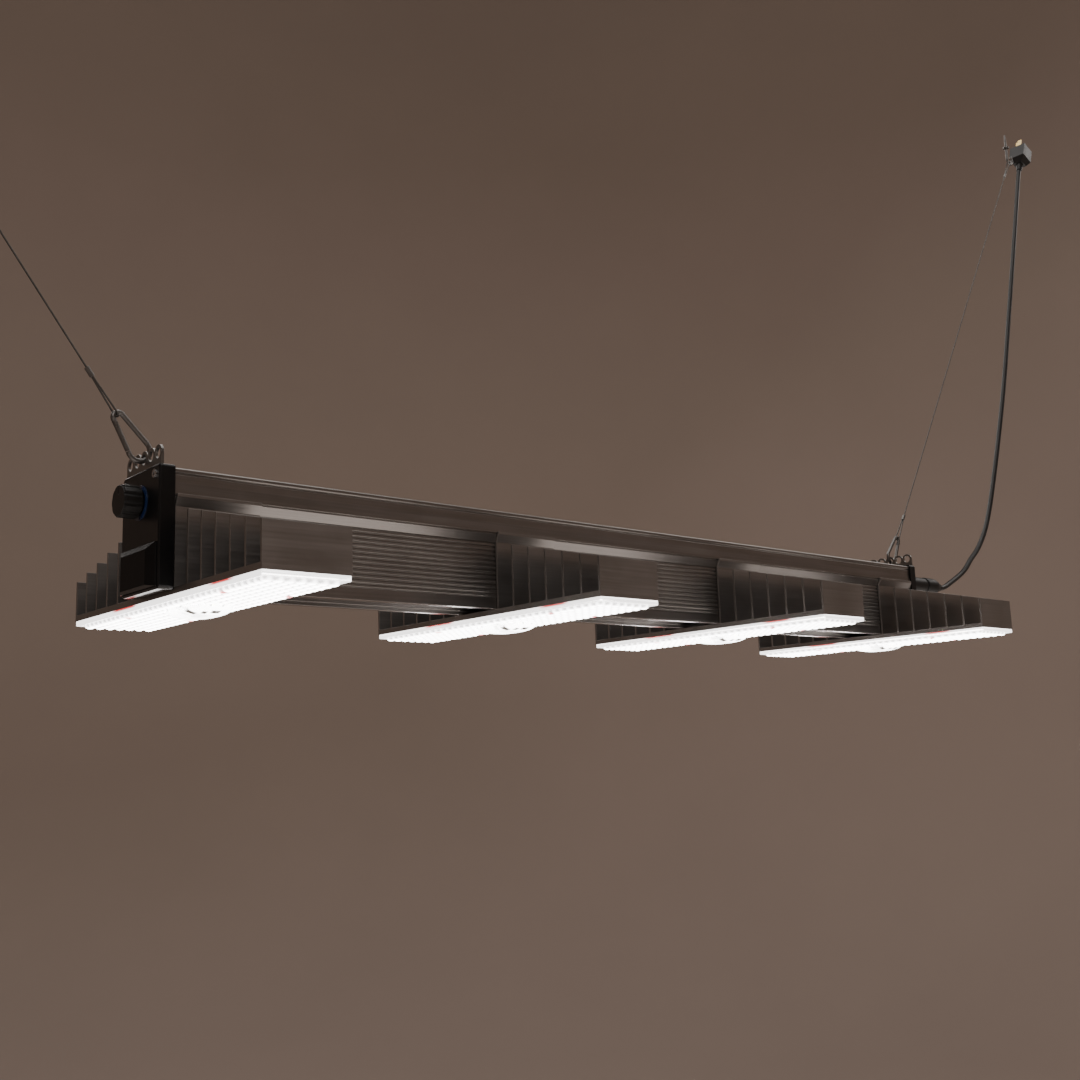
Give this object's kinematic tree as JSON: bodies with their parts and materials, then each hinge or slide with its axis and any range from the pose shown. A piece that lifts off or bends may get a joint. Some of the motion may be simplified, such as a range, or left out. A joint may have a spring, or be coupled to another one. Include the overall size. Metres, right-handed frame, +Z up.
{
  "type": "led grow light",
  "caption": "Hanging LED grow light: lens modules with finned heat sinks across one aluminium beam, dimmer knob, mains lead and rope hangers.",
  "frame": {"origin": "midpoint between the two centre hanging holes of the end plates", "axes": "+X along the beam towards the mains lead end, +Y away from the camera, +Z up"},
  "size_m": [1.7475, 0.326, 0.9155],
  "materials": {
    "anodised": "satin",
    "sink": "satin",
    "stainless": "brushed",
    "cap_plastic": "gloss",
    "cover_plastic": "gloss",
    "knob_plastic": "satin",
    "dial": "gloss",
    "lens_glow": "gloss",
    "seal_rubber": "matte",
    "zinc": "satin",
    "screw_steel": "satin",
    "pcb_white": "matte",
    "pcb_green": "satin",
    "led_white": "gloss",
    "led_red": "gloss",
    "dark_plastic": "satin",
    "case_metal": "satin",
    "capacitor": "gloss",
    "transformer": "satin",
    "lead_pvc": "satin",
    "pin_brass": "polished",
    "rope_steel": "stranded"
  },
  "bodies": {
    "lamp": {"beam": "anodised", "hanger_plate_left": "stainless", "hanger_plate_right": "stainless", "end_cap_left": "cap_plastic", "end_cap_right": "cap_plastic", "end_gaskets": "seal_rubber", "end_cap_screws": "screw_steel", "heat_sink_1": "sink", "heat_sink_2": "sink", "heat_sink_3": "sink", "heat_sink_4": "sink", "led_board_1": "pcb_white", "led_board_2": "pcb_white", "led_board_3": "pcb_white", "led_board_4": "pcb_white", "lens_1": "lens_glow", "lens_2": "lens_glow", "lens_3": "lens_glow", "lens_4": "lens_glow", "lens_seals": "seal_rubber", "white_leds": "led_white", "red_leds": "led_red", "module_bolts": "screw_steel", "board_connectors": "dark_plastic", "driver_case": "case_metal", "driver_board": "pcb_green", "driver_capacitors": "capacitor", "driver_transformer": "transformer", "dimmer_board": "pcb_green", "dimmer_encoder": "case_metal", "dial_ring": "dial", "wiring_loom": "dark_plastic", "inlet_socket": "dark_plastic", "outlet_socket": "dark_plastic"},
    "dimmer_knob": {"dimmer_knob": "knob_plastic", "dimmer_shaft": "screw_steel"},
    "outlet_cover": {"outlet_cover": "cover_plastic"},
    "mains_lead": {"mains_connector": "knob_plastic", "connector_nut": "knob_plastic", "mains_lead": "lead_pvc", "mains_plug": "lead_pvc", "plug_pins": "pin_brass"},
    "hanger_left": {"carabiner_left": "zinc", "gate_rivet_left": "zinc", "rope_eyes_left": "rope_steel", "ferrules_left": "zinc", "rope_left": "rope_steel", "ceiling_hook_left": "zinc"},
    "hanger_right": {"carabiner_right": "zinc", "gate_rivet_right": "zinc", "rope_eyes_right": "rope_steel", "ferrules_right": "zinc", "rope_right": "rope_steel", "ceiling_hook_right": "zinc"},
    "gate_left": {"carabiner_gate_left": "zinc"},
    "gate_right": {"carabiner_gate_right": "zinc"}
  },
  "joints": [
    {"name": "knob_turn", "type": "hinge", "parent": "lamp", "child": "dimmer_knob", "pos_m": [-0.518, 0, -0.034], "axis": [-1, 0, 0], "range_deg": [0, 270]},
    {"name": "outlet_cover_pull", "type": "slide", "parent": "lamp", "child": "outlet_cover", "axis": [-1, 0, 0], "range_m": [0, 0.02]},
    {"name": "connector_pull", "type": "slide", "parent": "lamp", "child": "mains_lead", "axis": [1, 0, 0], "range_m": [0, 0.025]},
    {"name": "hanger_left_swing", "type": "hinge", "parent": "lamp", "child": "hanger_left", "pos_m": [-0.5068, 0, 0], "axis": [0, 1, 0], "range_deg": [0, 35]},
    {"name": "hanger_right_swing", "type": "hinge", "parent": "lamp", "child": "hanger_right", "pos_m": [0.5068, 0, 0], "axis": [0, -1, 0], "range_deg": [0, 33]},
    {"name": "gate_left_open", "type": "hinge", "parent": "hanger_left", "child": "gate_left", "pos_m": [-0.53049, 0, 0.02517], "axis": [0, -1, 0], "range_deg": [0, 22], "stiffness_Nm_per_rad": 0.05, "springref_deg": -11.46},
    {"name": "gate_right_open", "type": "hinge", "parent": "hanger_right", "child": "gate_right", "pos_m": [0.52932, 0, 0.02622], "axis": [0, 1, 0], "range_deg": [0, 22], "stiffness_Nm_per_rad": 0.05, "springref_deg": -11.46}
  ]
}
